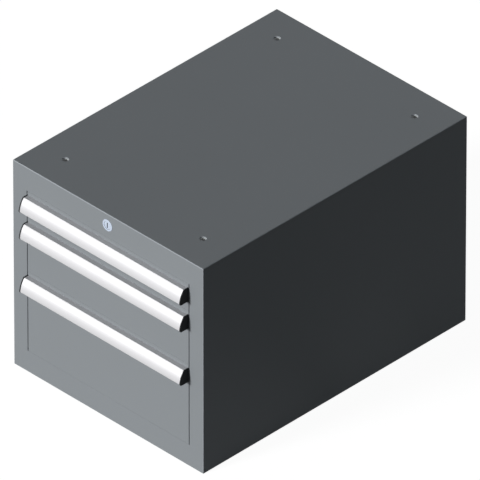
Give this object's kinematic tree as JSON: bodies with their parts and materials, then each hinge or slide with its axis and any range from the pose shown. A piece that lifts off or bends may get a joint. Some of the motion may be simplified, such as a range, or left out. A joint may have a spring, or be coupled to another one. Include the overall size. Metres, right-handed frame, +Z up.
{
  "type": "under-bench drawer unit",
  "caption": "Low sheet-steel drawer cabinet with flush fronts, full-width handle bars, a central lock and full-extension roller runners, for hanging under a worktop.",
  "frame": {"origin": "centre of the underside of the base, in the plane of the base plate", "axes": "+Z up, -Y towards the user, out of the drawer fronts, +X to the user's right"},
  "size_m": [0.411, 0.5905, 0.383],
  "materials": {
    "housing_paint": "fine-textured powder coat, satin",
    "drawer_paint": "fine-textured powder coat, satin",
    "handle_aluminium": "matte silver-white anodised",
    "cap_plastic": "fine-grained black",
    "lock_chrome": "bright nickel-chrome",
    "zinc_steel": "bright zinc plating",
    "roller_plastic": "natural polyamide"
  },
  "bodies": {
    "housing": {"front_frame": "housing_paint", "top_plate": "housing_paint", "base_plate": "housing_paint", "back_panel": "housing_paint", "side_panel_right": "housing_paint", "side_panel_left": "housing_paint", "lock_body": "lock_chrome", "lock_nut": "zinc_steel", "yoke_guide_lower_right": "zinc_steel", "yoke_guide_lower_left": "zinc_steel", "yoke_guide_upper_right": "zinc_steel", "yoke_guide_upper_left": "zinc_steel", "cabinet_rail_bottom_right": "zinc_steel", "cabinet_rail_bottom_left": "zinc_steel", "cabinet_rail_middle_right": "zinc_steel", "cabinet_rail_middle_left": "zinc_steel", "cabinet_rail_top_right": "zinc_steel", "cabinet_rail_top_left": "zinc_steel"},
    "lock": {"lock_plug": "lock_chrome", "lock_cam": "zinc_steel"},
    "yoke": {"locking_yoke": "zinc_steel"},
    "drawer_bottom": {"drawer_front_bottom": "housing_paint", "drawer_tray_bottom": "drawer_paint", "handle_profile_bottom": "handle_aluminium", "handle_cap_bottom_right": "cap_plastic", "handle_cap_bottom_left": "cap_plastic"},
    "carriages_bottom": {"carriage_bottom_right": "zinc_steel", "carriage_bottom_left": "zinc_steel"},
    "rollers_front_bottom": {"roller_front_bottom_right": "roller_plastic", "roller_front_bottom_left": "roller_plastic"},
    "rollers_middle_bottom": {"roller_middle_bottom_right": "roller_plastic", "roller_middle_bottom_left": "roller_plastic"},
    "rollers_rear_bottom": {"roller_rear_bottom_right": "roller_plastic", "roller_rear_bottom_left": "roller_plastic"},
    "drawer_middle": {"drawer_front_middle": "housing_paint", "drawer_tray_middle": "drawer_paint", "handle_profile_middle": "handle_aluminium", "handle_cap_middle_right": "cap_plastic", "handle_cap_middle_left": "cap_plastic"},
    "carriages_middle": {"carriage_middle_right": "zinc_steel", "carriage_middle_left": "zinc_steel"},
    "rollers_front_middle": {"roller_front_middle_right": "roller_plastic", "roller_front_middle_left": "roller_plastic"},
    "rollers_middle_middle": {"roller_middle_middle_right": "roller_plastic", "roller_middle_middle_left": "roller_plastic"},
    "rollers_rear_middle": {"roller_rear_middle_right": "roller_plastic", "roller_rear_middle_left": "roller_plastic"},
    "drawer_top": {"drawer_front_top": "housing_paint", "drawer_tray_top": "drawer_paint", "handle_profile_top": "handle_aluminium", "handle_cap_top_right": "cap_plastic", "handle_cap_top_left": "cap_plastic"},
    "carriages_top": {"carriage_top_right": "zinc_steel", "carriage_top_left": "zinc_steel"},
    "rollers_front_top": {"roller_front_top_right": "roller_plastic", "roller_front_top_left": "roller_plastic"},
    "rollers_middle_top": {"roller_middle_top_right": "roller_plastic", "roller_middle_top_left": "roller_plastic"},
    "rollers_rear_top": {"roller_rear_top_right": "roller_plastic", "roller_rear_top_left": "roller_plastic"}
  },
  "joints": [
    {"name": "lock_turn", "type": "hinge", "parent": "housing", "child": "lock", "pos_m": [0, -0.286, 0.3625], "axis": [0, 1, 0], "range_deg": [0, 90]},
    {"name": "yoke_lift", "type": "slide", "parent": "housing", "child": "yoke", "axis": [0, 0, 1], "range_m": [0, 0.0099]},
    {"name": "drawer_bottom_slide", "type": "slide", "parent": "housing", "child": "drawer_bottom", "axis": [0, -1, 0], "range_m": [0, 0.46]},
    {"name": "carriages_bottom_slide", "type": "slide", "parent": "housing", "child": "carriages_bottom", "axis": [0, -1, 0], "range_m": [0, 0.23]},
    {"name": "rollers_front_bottom_spin", "type": "hinge", "parent": "carriages_bottom", "child": "rollers_front_bottom", "pos_m": [0, -0.24, 0.05415], "axis": [1, 0, 0], "continuous": true},
    {"name": "rollers_middle_bottom_spin", "type": "hinge", "parent": "carriages_bottom", "child": "rollers_middle_bottom", "pos_m": [0, -0.022, 0.05415], "axis": [1, 0, 0], "continuous": true},
    {"name": "rollers_rear_bottom_spin", "type": "hinge", "parent": "carriages_bottom", "child": "rollers_rear_bottom", "pos_m": [0, 0.235, 0.05415], "axis": [1, 0, 0], "continuous": true},
    {"name": "drawer_middle_slide", "type": "slide", "parent": "housing", "child": "drawer_middle", "axis": [0, -1, 0], "range_m": [0, 0.46]},
    {"name": "carriages_middle_slide", "type": "slide", "parent": "housing", "child": "carriages_middle", "axis": [0, -1, 0], "range_m": [0, 0.23]},
    {"name": "rollers_front_middle_spin", "type": "hinge", "parent": "carriages_middle", "child": "rollers_front_middle", "pos_m": [0, -0.24, 0.20415], "axis": [1, 0, 0], "continuous": true},
    {"name": "rollers_middle_middle_spin", "type": "hinge", "parent": "carriages_middle", "child": "rollers_middle_middle", "pos_m": [0, -0.022, 0.20415], "axis": [1, 0, 0], "continuous": true},
    {"name": "rollers_rear_middle_spin", "type": "hinge", "parent": "carriages_middle", "child": "rollers_rear_middle", "pos_m": [0, 0.235, 0.20415], "axis": [1, 0, 0], "continuous": true},
    {"name": "drawer_top_slide", "type": "slide", "parent": "housing", "child": "drawer_top", "axis": [0, -1, 0], "range_m": [0, 0.46]},
    {"name": "carriages_top_slide", "type": "slide", "parent": "housing", "child": "carriages_top", "axis": [0, -1, 0], "range_m": [0, 0.23]},
    {"name": "rollers_front_top_spin", "type": "hinge", "parent": "carriages_top", "child": "rollers_front_top", "pos_m": [0, -0.24, 0.30415], "axis": [1, 0, 0], "continuous": true},
    {"name": "rollers_middle_top_spin", "type": "hinge", "parent": "carriages_top", "child": "rollers_middle_top", "pos_m": [0, -0.022, 0.30415], "axis": [1, 0, 0], "continuous": true},
    {"name": "rollers_rear_top_spin", "type": "hinge", "parent": "carriages_top", "child": "rollers_rear_top", "pos_m": [0, 0.235, 0.30415], "axis": [1, 0, 0], "continuous": true}
  ],
  "couplings": [
    {"joint": "lock_turn", "follows": "yoke_lift", "rad_per_m": 158.67},
    {"joint": "carriages_bottom_slide", "follows": "drawer_bottom_slide", "ratio": 0.5},
    {"joint": "rollers_front_bottom_spin", "follows": "drawer_bottom_slide", "rad_per_m": 62.5},
    {"joint": "rollers_middle_bottom_spin", "follows": "drawer_bottom_slide", "rad_per_m": 62.5},
    {"joint": "rollers_rear_bottom_spin", "follows": "drawer_bottom_slide", "rad_per_m": 62.5},
    {"joint": "carriages_middle_slide", "follows": "drawer_middle_slide", "ratio": 0.5},
    {"joint": "rollers_front_middle_spin", "follows": "drawer_middle_slide", "rad_per_m": 62.5},
    {"joint": "rollers_middle_middle_spin", "follows": "drawer_middle_slide", "rad_per_m": 62.5},
    {"joint": "rollers_rear_middle_spin", "follows": "drawer_middle_slide", "rad_per_m": 62.5},
    {"joint": "carriages_top_slide", "follows": "drawer_top_slide", "ratio": 0.5},
    {"joint": "rollers_front_top_spin", "follows": "drawer_top_slide", "rad_per_m": 62.5},
    {"joint": "rollers_middle_top_spin", "follows": "drawer_top_slide", "rad_per_m": 62.5},
    {"joint": "rollers_rear_top_spin", "follows": "drawer_top_slide", "rad_per_m": 62.5}
  ]
}
